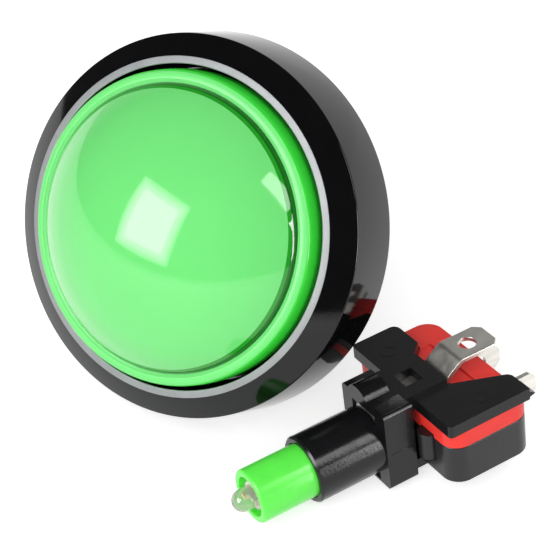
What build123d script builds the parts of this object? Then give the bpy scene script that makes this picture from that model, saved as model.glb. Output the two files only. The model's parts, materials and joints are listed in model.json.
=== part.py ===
from build123d import *
import os
from math import asin, atan2, cos, degrees, hypot, radians, sin, sqrt, tan

# Where the two halves lie on the table: head at its rear centre, unit at its lamp axis
head_x = -13.99
head_y = -0.37
unit_x = 26.71
unit_y = -7.02
unit_turn = 25.7
unit_roll = 7.0

# Bezel and cup, heights measured from the panel face
bezel_r = 32.2
bezel_taper = 0.6
bezel_side_h = 11.0
bezel_h = 13.5
bezel_wall = 2.6
ridge_r = 27.8
lip_drop = 0.2
rest_edge_r = 0.5
front_edge_r = 0.4
lip_edge_r = 0.2
cup_r = 26.6
cup_wall = 1.7
cup_floor = 5.4
cup_floor_t = 1.6
cup_fillet = 0.6
rib_count = 8
rib_t = 1.6
weld = 0.3

# Barrel
barrel_r = 12.0
barrel_l = 36.0
barrel_wall = 1.75
root_fillet = 0.8
guide_wall = 1.5
guide_top = 0.6
guide_l = 8.6
key_w = 5.0
key_l = 4.0

# Lens and diffuser
lens_gap = 0.75
lens_wall = 1.8
skirt_wall = 1.8
skirt_taper = 0.3
shoulder_h = 0.3
ring_h = 2.9
ring_w = 1.75
ring_round = 0.45
groove_w = 0.3
groove_d = 0.25
dome_h = 12.0
diffuser_gap = 1.0
diffuser_wall = 1.2
diffuser_foot = 1.3

# Plunger
press_travel = 3.0
stop_gap = 0.4
stem_clear = 0.05
stem_wall = 1.8
stem_tail = 4.0
plate_t = 1.2
plate_gap = 0.6
plate_rib_h = 1.0
plate_rib_t = 1.4
plate_rib_count = 6
locate_clear = 0.15
locate_h = 1.2
catch_gap = 0.1
catch_reach = 0.9
catch_w = 5.0
catch_lip = 0.8
catch_ramp = 1.6
leg_t = 2.6
leg_w = 4.8
leg_lead = 0.6

# Return spring
wire_r = 0.4
spring_turns = 4.5
spring_clear = 0.05

# Panel nut
panel_room = 8.0
nut_clear = 0.1
nut_flange_r = 17.5
nut_flange_t = 2.0
nut_flats = 28.0
nut_h = 7.0
nut_edge = 0.6

# Snap-action switch, standard body with its front face at the unit's zero
switch_l = 27.8
switch_h = 15.9
switch_t = 10.3
switch_corner_r = 3.2
switch_wall = 1.2
cover_t = 3.2
cover_plate_t = 1.4
cover_band_l = 4.2
cover_sink = 0.3
screw_inset = 2.8
screw_hole_r = 1.55
screw_boss_r = 2.6
button_in = 6.9
button_w = 3.4
button_l = 5.0
button_out = 1.6
button_travel = 1.3
button_clear = 0.05
button_flange = 0.7
button_flange_t = 0.8
button_nose = 0.8

# Switch contacts
strip_t = 0.8
strip_w = 4.8
strip_hole_r = 1.5
strip_hole_back = 4.4
strip_point = 1.2
strip_bend_r = 1.0
strip_clear = 0.05
com_in = 5.5
com_out = 7.0
no_at = -4.3
nc_at = 5.6
tail_out = 6.8
blade_t = 0.3
blade_w = 3.6
front_room = 0.6
pivot_in = 6.1
contact_r = 1.0
contact_t = 0.6
contact_in = 3.4
contact_gap = 1.75
boss_clear = 0.1

# Lamp holder, heights measured from the lamp axis
tube_r = 5.8
tube_bore_r = 4.8
tube_mouth = 19.6
tube_edge = 0.35
block_front = 7.3
block_back = 1.8
block_half_w = 6.1
block_top = 8.2
block_foot = 7.0
block_edge = 0.7
arch_r = 3.1
arch_rise = 1.5
arch_l = 4.6
arch_at = -1.6
wing_t = 2.2
wing_front = 0.2
wing_side = 14.0
wing_long = 16.6
wing_short = 9.8
wing_neck = 5.0
wing_neck_w = 4.0
wing_long_w = 8.4
wing_short_w = 8.4
wing_tip_r = 2.4
wing_edge_r = 0.7
prong_l = 6.2
prong_half_w = 4.4
beak_out = 1.3
beak_drop = 2.6
beak_w = 4.0
peg_clear = 0.1
peg_l = 3.2
slot_clear = 0.1
contact_room = 2.7
window_l = 3.4
window_w = 3.6

# Lamp and its terminals
capsule_clear = 0.15
capsule_end = 29.7
capsule_start = 14.0
capsule_edge = 0.5
capsule_recess_r = 3.4
capsule_recess = 1.6
led_r = 1.9
led_rim_r = 2.5
led_rim_t = 1.0
led_out = 3.1
wedge_w = 8.6
wedge_t = 2.3
wedge_start = 8.4
tab_in = 6.0
tab_bend_start = 6.6
tab_bend_end = 10.2
tab_reach = 18.0
tab_rise = 8.9
tab_drop = 7.9
tab_w = 6.3
finger_u = 10.6

# Levels and radii that follow
bezel_front_r = bezel_r - bezel_taper
barrel_bore_r = barrel_r - barrel_wall
guide_r = barrel_bore_r - guide_wall
guide_end = guide_top - guide_l
cup_under = cup_floor - cup_floor_t
cup_outer_r = cup_r + cup_wall
wall_in_r = bezel_r - bezel_wall
cone_drop = (bezel_h - bezel_side_h) / (bezel_front_r - ridge_r)
cone_under = bezel_side_h - bezel_wall
plate_bottom = cup_floor + press_travel + stop_gap + plate_rib_h
plate_top = plate_bottom + plate_t
lens_r = cup_r - lens_gap
skirt_in_r = lens_r - skirt_wall
ring_r = lens_r - skirt_taper
ring_s = bezel_h + ring_h
dome_r = ring_r - ring_w - groove_w
dome_top = ring_s + dome_h
sphere_r = (dome_r**2 + dome_h**2) / (2 * dome_h)
sphere_s = dome_top - sphere_r
lens_in_r = sphere_r - lens_wall
lens_in_s = bezel_h - lip_drop
diffuser_r = lens_in_r - diffuser_gap
diffuser_in_r = diffuser_r - diffuser_wall
diffuser_base_s = plate_top + diffuser_foot
stem_r = guide_r - stem_clear
stem_in_r = stem_r - stem_wall
stem_end = guide_end - stem_tail
plate_r = lens_r - plate_gap
coil_r = (stem_r + barrel_bore_r) / 2
catch_top = guide_end - catch_gap
leg_end = -barrel_l + button_out + press_travel - button_travel
hex_r = nut_flats / 2
switch_half = switch_t / 2
seam_v = switch_half - cover_t
screw_near = -screw_inset
screw_far = -(switch_h - screw_inset)
screw_side = switch_l / 2 - screw_inset
plate_v = switch_half
capsule_r = tube_bore_r - capsule_clear
slot_v = switch_half + (block_foot - switch_half) / 2
cavity_under = switch_half - switch_wall
cavity_over = switch_half - cover_plate_t
button_at = switch_l / 2 - button_in
button_seat = -switch_wall - button_clear
contact_at = switch_l / 2 - contact_in
nc_face = -(switch_wall + front_room + strip_t + contact_t)
blade_at = nc_face - strip_clear - contact_t - blade_t / 2
blade_pivot = -(switch_l / 2 - pivot_in)
com_at = -(switch_h - com_in)
button_foot = blade_at + blade_t / 2 + button_clear
blade_tip = contact_at + contact_r
no_face = blade_at - blade_t / 2 - contact_t - contact_gap
nc_side = switch_l / 2 - switch_wall - strip_clear - strip_t / 2
nc_cross = screw_far + screw_boss_r + boss_clear + strip_t / 2

# Tilt at which bezel edge and barrel end both touch the table
tilt = atan2(bezel_r - barrel_r, barrel_l)
head_z = rest_edge_r + (bezel_r - rest_edge_r) * cos(tilt) - rest_edge_r * sin(tilt)
head_dir = Vector(0, -cos(tilt), sin(tilt))
head_up = Vector(0, sin(tilt), cos(tilt))
head_centre = Vector(head_x, head_y, head_z)
head = Plane(head_centre, x_dir=(1, 0, 0), z_dir=head_dir)
head_side = Plane(head_centre, x_dir=(1, 0, 0), z_dir=-head_up)
head_long = Plane(head_centre, x_dir=head_up, z_dir=(1, 0, 0))
head_axis = Axis(head_centre, head_dir)

# Tilt at which the block's front corner and the lower terminal's bend both touch the table
roll = radians(unit_roll)
tab_turn = atan2(tab_drop - slot_v, tab_bend_end - tab_bend_start)
touch_foot = block_edge + (block_foot - block_edge) * cos(roll) + (block_half_w - block_edge) * sin(roll)
touch_span = block_front + tab_bend_end + strip_bend_r * tan(tab_turn / 2)
touch_drop = (tab_drop - strip_bend_r) * cos(roll) + tab_w / 2 * sin(roll) - touch_foot
touch_bend = (strip_bend_r + strip_t / 2) * cos(roll)
unit_tilt = atan2(touch_drop, touch_span) + asin(touch_bend / hypot(touch_span, touch_drop))
unit_z = block_front * sin(unit_tilt) + touch_foot * cos(unit_tilt)
turn = radians(unit_turn)
unit_level = Vector(-sin(turn), -cos(turn), 0)
unit_dir = unit_level * cos(unit_tilt) - Vector(0, 0, 1) * sin(unit_tilt)
level_wide = Vector(0, 0, 1).cross(unit_level)
level_up = unit_dir.cross(level_wide)
unit_wide = level_wide * cos(roll) + level_up * sin(roll)
unit_up = level_up * cos(roll) - level_wide * sin(roll)
unit_centre = Vector(unit_x, unit_y, unit_z)
unit = Plane(unit_centre, x_dir=unit_dir, z_dir=unit_up)
unit_side = Plane(unit_centre, x_dir=unit_dir, z_dir=-unit_wide)
unit_cross = Plane(unit_centre, x_dir=unit_wide, z_dir=unit_dir)
lamp_axis = Axis(unit_centre, unit_dir)


def sphere_angle(radius, s):
    """Angle above the panel at which a dome of this radius passes height s."""
    return degrees(asin((s - sphere_s) / radius))


def sphere_point(radius, s):
    """Point of a dome's section at height s."""
    return (sqrt(radius**2 - (s - sphere_s) ** 2), s)


def screw_places():
    """The two mounting holes of the switch, on its diagonal."""
    return Locations(
        (screw_near, -screw_side),
        (screw_far, screw_side),
    )


# Housing: bezel, cup and barrel turned as one section
with BuildPart() as housing:
    with BuildSketch(head_side):
        with BuildLine():
            FilletPolyline(
                (bezel_r, 0),
                (bezel_front_r, bezel_side_h),
                (ridge_r, bezel_h),
                (cup_r, bezel_h - lip_drop),
                (cup_r, cup_floor),
                (barrel_bore_r, cup_floor),
                (barrel_bore_r, guide_top),
                (guide_r, guide_top),
                (guide_r, guide_end),
                (barrel_bore_r, guide_end),
                (barrel_bore_r, -barrel_l),
                (barrel_r, -barrel_l),
                (barrel_r, cup_under),
                (cup_outer_r, cup_under),
                (cup_outer_r, cone_under + cone_drop * (bezel_front_r - cup_outer_r) / 2),
                (wall_in_r, cone_under),
                (wall_in_r, 0),
                radius=[
                    rest_edge_r,
                    front_edge_r,
                    lip_edge_r,
                    lip_edge_r,
                    cup_fillet,
                    lip_edge_r,
                    0,
                    lip_edge_r,
                    lip_edge_r,
                    0,
                    lip_edge_r,
                    rest_edge_r,
                    root_fillet,
                    lip_edge_r,
                    0,
                    0,
                    lip_edge_r,
                ],
                close=True,
            )
        make_face()
    revolve(axis=head_axis)
    # Radial ribs across the open back
    rib_l = wall_in_r - barrel_r + 2 * weld
    with BuildSketch(head):
        with PolarLocations((wall_in_r + barrel_r) / 2, rib_count):
            Rectangle(rib_l, rib_t)
    extrude(amount=cup_under + weld)
    # Keyways for the switch unit in the barrel's end
    with BuildSketch(head_side):
        with Locations((0, -barrel_l + key_l / 2)):
            Rectangle(3 * barrel_r, key_l)
    extrude(amount=key_w / 2, both=True, mode=Mode.SUBTRACT)
housing.part.label = "housing"

# Lens: dome, rim ring with its groove, tapered shoulder and skirt
with BuildPart() as lens:
    with BuildSketch(head_side):
        with BuildLine():
            CenterArc((0, sphere_s), sphere_r, sphere_angle(sphere_r, ring_s),
                      90 - sphere_angle(sphere_r, ring_s))
            FilletPolyline(
                (dome_r, ring_s),
                (dome_r + groove_w / 2, ring_s - groove_d),
                (dome_r + groove_w, ring_s),
                (ring_r, ring_s),
                (lens_r, bezel_h - shoulder_h),
                (lens_r, plate_top),
                (skirt_in_r, plate_top),
                (skirt_in_r, plate_top + locate_h + locate_clear),
                sphere_point(lens_in_r, lens_in_s),
                radius=[0, lip_edge_r / 2, ring_round, ring_round, lip_edge_r, 0, lip_edge_r],
            )
            CenterArc((0, sphere_s), lens_in_r, sphere_angle(lens_in_r, lens_in_s),
                      90 - sphere_angle(lens_in_r, lens_in_s))
            Line((0, dome_top - lens_wall), (0, dome_top))
        make_face()
    revolve(axis=head_axis)
lens.part.label = "lens"

# Diffuser: inner dome that stands on the plunger's plate
with BuildPart() as diffuser:
    with BuildSketch(head_side):
        with BuildLine():
            CenterArc((0, sphere_s), diffuser_r, sphere_angle(diffuser_r, diffuser_base_s),
                      90 - sphere_angle(diffuser_r, diffuser_base_s))
            foot_out = sphere_point(diffuser_r, diffuser_base_s)
            foot_in = sphere_point(diffuser_in_r, diffuser_base_s)
            Polyline(foot_out, (foot_out[0], plate_top), (foot_in[0], plate_top), foot_in)
            CenterArc((0, sphere_s), diffuser_in_r, sphere_angle(diffuser_in_r, diffuser_base_s),
                      90 - sphere_angle(diffuser_in_r, diffuser_base_s))
            Line((0, sphere_s + diffuser_in_r), (0, sphere_s + diffuser_r))
        make_face()
    revolve(axis=head_axis)
diffuser.part.label = "diffuser"

# Plunger: carrier plate, locating ring and hollow stem
with BuildPart() as plunger:
    ring_out_r = skirt_in_r - locate_clear
    ring_in_r = foot_out[0] + locate_clear
    with BuildSketch(head_side):
        with BuildLine():
            FilletPolyline(
                (stem_in_r, plate_top),
                (ring_in_r, plate_top),
                (ring_in_r, plate_top + locate_h),
                (ring_out_r, plate_top + locate_h),
                (ring_out_r, plate_top),
                (plate_r, plate_top),
                (plate_r, plate_bottom),
                (stem_r, plate_bottom),
                (stem_r, stem_end),
                (stem_in_r, stem_end),
                radius=[lip_edge_r, 0, lip_edge_r, lip_edge_r, 0, 0, lip_edge_r, 0, 0, 0],
                close=True,
            )
        make_face()
    revolve(axis=head_axis)
    # Ribs under the plate, outside the spring
    rib_start = barrel_bore_r + plate_gap
    rib_stop = plate_r - plate_gap
    with BuildSketch(head.offset(plate_bottom - plate_rib_h)):
        with PolarLocations((rib_start + rib_stop) / 2, plate_rib_count):
            Rectangle(rib_stop - rib_start, plate_rib_t)
    extrude(amount=plate_rib_h + weld)
    # Two catches that hook under the guide
    with BuildSketch(head_side):
        Polygon(
            (stem_r - weld, catch_top),
            (stem_r + catch_reach, catch_top),
            (stem_r + catch_reach, catch_top - catch_lip),
            (stem_r - weld, catch_top - catch_lip - catch_ramp),
            align=None,
        )
        mirror(about=Plane.YZ)
    extrude(amount=catch_w / 2, both=True)
    # Two legs that reach down beside the lamp to the switch
    with BuildSketch(head_long):
        with BuildLine():
            Polyline(
                (stem_in_r, catch_top - catch_gap),
                (stem_in_r + leg_t, catch_top - catch_gap),
                (stem_in_r + leg_t, leg_end + leg_lead),
                (stem_in_r + leg_t - leg_lead, leg_end),
                (stem_in_r, leg_end),
                close=True,
            )
        make_face()
        mirror(about=Plane.YZ)
    extrude(amount=leg_w / 2, both=True)
plunger.part.label = "plunger"

# Return spring between the guide and the plate
with BuildPart() as return_spring:
    spring_h = plate_bottom - guide_top - 2 * (wire_r + spring_clear)
    spring_foot = head_centre + head_dir * (guide_top + wire_r + spring_clear)
    with BuildLine() as coil:
        Helix(spring_h / spring_turns, spring_h, coil_r, center=spring_foot, direction=head_dir)
    with BuildSketch(Plane(coil.line @ 0, z_dir=coil.line % 0)):
        Circle(wire_r)
    sweep(path=coil.line, is_frenet=True)
return_spring.part.label = "return_spring"

# Panel nut: flange towards the panel, hexagon behind
with BuildPart() as panel_nut:
    with BuildSketch(head.offset(-panel_room)):
        Circle(nut_flange_r)
    extrude(amount=-nut_flange_t)
    with BuildSketch(head.offset(-panel_room)):
        RegularPolygon(hex_r, 6, major_radius=False)
    extrude(amount=-nut_h)
    chamfer(panel_nut.faces().sort_by(head_axis)[0].edges(), nut_edge)
    with BuildSketch(head.offset(-panel_room)):
        Circle(barrel_r + nut_clear)
    extrude(amount=-nut_h, mode=Mode.SUBTRACT)
panel_nut.part.label = "panel_nut"

# Lamp holder: block, tube, wings and the two prongs that hold the switch
with BuildPart() as lamp_holder:
    with BuildSketch(unit_cross.offset(block_back)):
        with Locations((0, (block_top - block_foot) / 2)):
            RectangleRounded(2 * block_half_w, block_top + block_foot, block_edge)
    extrude(amount=block_front - block_back)
    with BuildSketch(unit_cross.offset(block_front)):
        Circle(tube_r)
    extrude(amount=tube_mouth - block_front)
    chamfer(lamp_holder.faces().sort_by(lamp_axis)[-1].edges(), tube_edge)
    # Arched cover over the upper contact
    with BuildSketch(unit_cross.offset(block_front - arch_l)):
        with Locations((arch_at, block_top + arch_rise - arch_r)):
            Circle(arch_r)
    extrude(amount=arch_l)
    # Wings over the switch
    with BuildSketch(unit.offset(plate_v)):
        with BuildLine():
            FilletPolyline(
                (block_back + weld, wing_neck_w),
                (wing_front, wing_neck_w),
                (wing_front, wing_side),
                (-wing_long, wing_side),
                (-wing_long, wing_long_w),
                (-wing_neck, wing_neck_w),
                (-wing_neck, -wing_neck_w),
                (-wing_short, -wing_short_w),
                (-wing_short, -wing_side),
                (wing_front, -wing_side),
                (wing_front, -wing_neck_w),
                (block_back + weld, -wing_neck_w),
                radius=[
                    0,
                    0,
                    wing_edge_r,
                    wing_edge_r,
                    wing_tip_r,
                    0,
                    0,
                    wing_edge_r,
                    wing_tip_r,
                    wing_edge_r,
                    0,
                    0,
                ],
                close=True,
            )
        make_face()
    extrude(amount=wing_t)
    # Prongs above and below the switch
    with BuildSketch(unit_cross.offset(-prong_l)):
        with Locations((0, (switch_half + block_top) / 2)):
            Rectangle(2 * prong_half_w, block_top - switch_half)
        with Locations((0, -(switch_half + block_foot) / 2)):
            Rectangle(2 * prong_half_w, block_foot - switch_half)
    extrude(amount=prong_l + block_back + weld)
    # Beak at the long wing's end, behind the switch
    with BuildSketch(unit_side.offset(-wing_side)):
        Polygon(
            (-wing_long + wing_edge_r, plate_v + wing_t - wing_edge_r),
            (-wing_long - beak_out, plate_v + wing_edge_r),
            (-switch_h - slot_clear, plate_v - beak_drop),
            (-switch_h - slot_clear, plate_v + wing_edge_r),
            align=None,
        )
    extrude(amount=beak_w)
    # Pegs into the switch's mounting holes
    with BuildSketch(unit.offset(plate_v + weld)):
        with screw_places():
            Circle(screw_hole_r - peg_clear)
    extrude(amount=-peg_l - weld)
    # Lamp bore, contact chamber and terminal slots
    with BuildSketch(unit_cross.offset(block_front)):
        Circle(tube_bore_r)
    extrude(amount=tube_mouth - block_front, mode=Mode.SUBTRACT)
    slot_half = strip_t / 2 + slot_clear
    with BuildSketch(unit_side):
        with Locations(((tab_in + block_front) / 2 - contact_room / 2, 0)):
            Rectangle(block_front - tab_in + contact_room, 2 * (slot_v + slot_half))
        for side in (1, -1):
            with Locations(((tab_in - prong_l) / 2 - weld, side * slot_v)):
                Rectangle(tab_in + prong_l + 2 * weld, 2 * slot_half)
    extrude(amount=tab_w / 2 + slot_clear, both=True, mode=Mode.SUBTRACT)
    # Window above the upper terminal
    with BuildSketch(unit.offset(slot_v)):
        with Locations((-window_l / 2, 0)):
            Rectangle(window_l, window_w)
    extrude(amount=block_top, mode=Mode.SUBTRACT)
lamp_holder.part.label = "lamp_holder"

# Lamp capsule: round body with a recessed front
with BuildPart() as lamp_capsule:
    with BuildSketch(unit_cross.offset(capsule_start)):
        Circle(capsule_r)
    extrude(amount=capsule_end - capsule_start)
    chamfer(lamp_capsule.faces().sort_by(lamp_axis)[-1].edges(), capsule_edge)
    with BuildSketch(unit_cross.offset(capsule_end)):
        Circle(capsule_recess_r)
    extrude(amount=-capsule_recess, mode=Mode.SUBTRACT)
lamp_capsule.part.label = "lamp_capsule"

# Clear lamp: rim and round nose standing in the recess
with BuildPart() as lamp_led:
    led_seat = capsule_end - capsule_recess
    led_tip = capsule_end + led_out
    with BuildSketch(unit_side):
        with BuildLine():
            Polyline(
                (led_tip - led_r, led_r),
                (led_seat + led_rim_t, led_r),
                (led_seat + led_rim_t, led_rim_r),
                (led_seat, led_rim_r),
                (led_seat, 0),
                (led_tip, 0),
            )
            CenterArc((led_tip - led_r, 0), led_r, 0, 90)
        make_face()
    revolve(axis=lamp_axis)
lamp_led.part.label = "lamp_led"

# Wedge base of the lamp, between the two terminal fingers
with BuildPart() as lamp_base:
    with BuildSketch(unit_cross.offset(wedge_start)):
        Rectangle(wedge_w, wedge_t)
    extrude(amount=capsule_start - wedge_start)
lamp_base.part.label = "lamp_base"


def strip_section(*route):
    """Flat strip bent along the route, drawn on its narrow edge."""
    with BuildLine() as bend:
        FilletPolyline(*route, radius=strip_bend_r)
    trace(bend.line, strip_t)


def cut_tab_end(face, width):
    """Hole and pointed corners of a tab; face starts at the middle of the tab's end, x pointing out."""
    with BuildSketch(face) as cuts:
        with Locations((-strip_hole_back, 0)):
            Circle(strip_hole_r)
        for edge in (1, -1):
            Polygon(
                (-strip_point - weld, edge * (width / 2 + weld)),
                (weld, edge * (width / 2 - strip_point - weld)),
                (weld, edge * (width / 2 + weld)),
                align=None,
            )
    extrude(cuts.sketch, amount=strip_t, both=True, mode=Mode.SUBTRACT)


def lamp_terminal(side, rise):
    """Bent strip from the lamp's finger to the tab outside; side is +1 above the lamp and -1 below."""
    finger_v = side * (wedge_t + strip_t) / 2
    with BuildPart() as terminal:
        with BuildSketch(unit_side):
            strip_section(
                (finger_u, finger_v),
                (block_front, finger_v),
                (tab_in, side * slot_v),
                (-tab_bend_start, side * slot_v),
                (-tab_bend_end, side * rise),
                (-tab_reach, side * rise),
            )
        extrude(amount=tab_w / 2, both=True)
        tab_end = unit_centre - unit_dir * tab_reach + unit_up * side * rise
        cut_tab_end(Plane(tab_end, x_dir=-unit_dir, z_dir=unit_up), tab_w)
    return terminal.part


lamp_terminal_upper = lamp_terminal(1, tab_rise)
lamp_terminal_upper.label = "lamp_terminal_upper"
lamp_terminal_lower = lamp_terminal(-1, tab_drop)
lamp_terminal_lower.label = "lamp_terminal_lower"


def switch_shell(bottom, top):
    """Half of the switch's case between two heights, open towards the seam."""
    with BuildSketch(unit.offset(bottom)) as outline:
        with Locations((-switch_h / 2, 0)):
            RectangleRounded(switch_h, switch_l, switch_corner_r)
        with screw_places():
            Circle(screw_hole_r, mode=Mode.SUBTRACT)
    extrude(outline.sketch, amount=top - bottom)
    with BuildSketch(unit.offset(-cavity_under)) as cavity:
        with Locations((-switch_h / 2, 0)):
            RectangleRounded(switch_h - 2 * switch_wall, switch_l - 2 * switch_wall,
                             switch_corner_r - switch_wall)
        with screw_places():
            Circle(screw_boss_r, mode=Mode.SUBTRACT)
    extrude(cavity.sketch, amount=cavity_under + cavity_over, mode=Mode.SUBTRACT)
    # Ways out for the button and for the three terminals
    with BuildSketch(unit.offset(-button_l / 2 - button_clear)) as button_way:
        with Locations((0, button_at)):
            Rectangle(3 * switch_wall, button_w + 2 * button_clear)
    extrude(button_way.sketch, amount=button_l + 2 * button_clear, mode=Mode.SUBTRACT)
    with BuildSketch(unit.offset(-strip_w / 2 - strip_clear)) as strip_ways:
        with Locations((-switch_h, no_at), (-switch_h, nc_at)):
            Rectangle(3 * switch_wall, strip_t + 2 * strip_clear)
        with Locations((com_at, -switch_l / 2)):
            Rectangle(strip_t + 2 * strip_clear, 3 * switch_wall)
    extrude(strip_ways.sketch, amount=strip_w + 2 * strip_clear, mode=Mode.SUBTRACT)


# Switch base: black lower half of the case
with BuildPart() as switch_base:
    switch_shell(-switch_half, seam_v)
switch_base.part.label = "switch_base"

# Switch cover: red upper half, a little sunk between the wings
with BuildPart() as switch_cover:
    switch_shell(seam_v, switch_half)
    with BuildSketch(unit.offset(switch_half)):
        with Locations((-switch_h + cover_band_l, 0)):
            Rectangle(switch_h - cover_band_l - prong_l, 2 * wing_long_w, align=(Align.MIN, Align.CENTER))
    extrude(amount=-cover_sink, mode=Mode.SUBTRACT)
switch_cover.part.label = "switch_cover"

# Switch button: half-round bar with a flange that keeps it in and a nose that meets the blade
with BuildPart() as switch_button:
    with BuildSketch(unit.offset(-button_l / 2)):
        with Locations((button_out - button_w / 2, button_at)):
            Circle(button_w / 2)
            Rectangle(button_out - button_w / 2 - button_seat, button_w, align=(Align.MAX, Align.CENTER))
        with Locations((button_seat, button_at)):
            Rectangle(button_flange_t, button_w + 2 * button_flange, align=(Align.MAX, Align.CENTER))
            Rectangle(button_seat - button_foot, button_nose, align=(Align.MAX, Align.CENTER))
    extrude(amount=button_l)
switch_button.part.label = "switch_button"

# Contact blade: spring strip with a rivet head on either side of its tip
with BuildPart() as contact_blade:
    with BuildSketch(unit_cross.offset(blade_at - blade_t / 2)):
        with Locations(((blade_pivot + blade_tip) / 2, 0)):
            Rectangle(blade_tip - blade_pivot, blade_w)
    extrude(amount=blade_t)
    with BuildSketch(unit_cross.offset(blade_at)):
        with Locations((contact_at, 0)):
            Circle(contact_r)
    extrude(amount=blade_t / 2 + contact_t, both=True)
contact_blade.part.label = "contact_blade"

# Common terminal: tab out of the far end, bent forward to carry the blade's root
with BuildPart() as com_terminal:
    with BuildSketch(unit):
        strip_section(
            (com_at, -switch_l / 2 - com_out),
            (com_at, blade_pivot),
            (blade_at - blade_t / 2 - strip_clear, blade_pivot),
        )
    extrude(amount=strip_w / 2, both=True)
    com_end = unit_centre + unit_dir * com_at - unit_wide * (switch_l / 2 + com_out)
    cut_tab_end(Plane(com_end, x_dir=-unit_wide, z_dir=unit_dir), strip_w)
com_terminal.part.label = "com_terminal"

# Normally open terminal: behind the blade, across the case and out of the back
with BuildPart() as no_terminal:
    with BuildSketch(unit):
        strip_section(
            (no_face - contact_t - strip_t / 2, blade_tip),
            (no_face - contact_t - strip_t / 2, no_at),
            (-switch_h - tail_out, no_at),
        )
    extrude(amount=strip_w / 2, both=True)
    with BuildSketch(unit_cross.offset(no_face)):
        with Locations((contact_at, 0)):
            Circle(contact_r)
    extrude(amount=-contact_t - strip_t / 2)
    no_end = unit_centre - unit_dir * (switch_h + tail_out) + unit_wide * no_at
    cut_tab_end(Plane(no_end, x_dir=-unit_dir, z_dir=unit_wide), strip_w)
no_terminal.part.label = "no_terminal"

# Normally closed terminal: in front of the blade, round the case's end and out of the back
with BuildPart() as nc_terminal:
    with BuildSketch(unit):
        strip_section(
            (nc_face + contact_t + strip_t / 2, contact_at - contact_r),
            (nc_face + contact_t + strip_t / 2, nc_side),
            (nc_cross, nc_side),
            (nc_cross, nc_at),
            (-switch_h - tail_out, nc_at),
        )
    extrude(amount=strip_w / 2, both=True)
    with BuildSketch(unit_cross.offset(nc_face)):
        with Locations((contact_at, 0)):
            Circle(contact_r)
    extrude(amount=contact_t + strip_t / 2)
    nc_end = unit_centre - unit_dir * (switch_h + tail_out) + unit_wide * nc_at
    cut_tab_end(Plane(nc_end, x_dir=-unit_dir, z_dir=unit_wide), strip_w)
nc_terminal.part.label = "nc_terminal"

os.makedirs("parts", exist_ok=True)
export_step(housing.part, "parts/housing.step")
export_step(lens.part, "parts/lens.step")
export_step(diffuser.part, "parts/diffuser.step")
export_step(plunger.part, "parts/plunger.step")
export_step(return_spring.part, "parts/return_spring.step")
export_step(panel_nut.part, "parts/panel_nut.step")
export_step(lamp_holder.part, "parts/lamp_holder.step")
export_step(lamp_capsule.part, "parts/lamp_capsule.step")
export_step(lamp_led.part, "parts/lamp_led.step")
export_step(lamp_base.part, "parts/lamp_base.step")
export_step(lamp_terminal_upper, "parts/lamp_terminal_upper.step")
export_step(lamp_terminal_lower, "parts/lamp_terminal_lower.step")
export_step(switch_base.part, "parts/switch_base.step")
export_step(switch_cover.part, "parts/switch_cover.step")
export_step(switch_button.part, "parts/switch_button.step")
export_step(contact_blade.part, "parts/contact_blade.step")
export_step(com_terminal.part, "parts/com_terminal.step")
export_step(no_terminal.part, "parts/no_terminal.step")
export_step(nc_terminal.part, "parts/nc_terminal.step")
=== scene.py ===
import json
from math import asin, atan2, ceil, cos, hypot, inf, pi, radians, sin, tan

import bmesh
import bpy
from bpy.props import FloatProperty, FloatVectorProperty, PointerProperty
from mathutils import Matrix, Vector


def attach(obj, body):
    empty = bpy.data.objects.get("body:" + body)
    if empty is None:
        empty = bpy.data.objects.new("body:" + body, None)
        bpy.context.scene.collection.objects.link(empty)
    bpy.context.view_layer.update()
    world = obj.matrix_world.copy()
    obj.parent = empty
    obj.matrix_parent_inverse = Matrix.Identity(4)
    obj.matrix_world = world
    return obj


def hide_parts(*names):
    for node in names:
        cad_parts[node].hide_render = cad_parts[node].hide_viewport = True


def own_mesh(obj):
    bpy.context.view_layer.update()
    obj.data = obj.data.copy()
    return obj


bl_info = {
    "name": "Dome push button",
    "version": (1, 0, 0),
    "blender": (4, 5, 0),
    "location": "View3D > Sidebar > Push button",
    "description": "Dresses the packed push button with its switch and lamp unit, and sets the stage",
    "category": "Object",
}

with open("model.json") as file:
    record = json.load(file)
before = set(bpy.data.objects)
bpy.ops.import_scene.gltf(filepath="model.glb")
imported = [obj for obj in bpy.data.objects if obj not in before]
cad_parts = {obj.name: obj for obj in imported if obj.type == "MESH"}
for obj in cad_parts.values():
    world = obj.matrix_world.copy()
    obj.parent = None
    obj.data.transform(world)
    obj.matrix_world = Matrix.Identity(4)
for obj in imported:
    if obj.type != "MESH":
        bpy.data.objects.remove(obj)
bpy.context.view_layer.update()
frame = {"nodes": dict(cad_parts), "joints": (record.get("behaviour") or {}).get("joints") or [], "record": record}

MM = 0.001
mounts = {mount["name"]: mount for mount in frame["record"]["mounts"]}
joints = {joint["name"]: joint for joint in frame["joints"]}


def frame_matrix(origin, x_dir, y_dir, z_dir):
    """Matrix that takes millimetres along the three directions to metres in the row frame."""
    turned = Matrix((x_dir, y_dir, z_dir)).transposed().to_4x4()
    return Matrix.Translation(origin) @ turned @ Matrix.Scale(MM, 4)


# Head frame: across, up the panel, out of the panel. Its zero is the middle of the panel face,
# and the face's mount lies PANEL_FACE_R to one side of it.
PANEL_FACE_R = 30.9
head_dir = -Vector(joints["dome_press"]["axis"]).normalized()
head_up = head_dir.cross(Vector((1, 0, 0)))
head_zero = Vector(mounts["panel_face"]["pos_m"]) - Vector((PANEL_FACE_R * MM, 0, 0))
HEAD = frame_matrix(head_zero, Vector((1, 0, 0)), head_up, head_dir)

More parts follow.
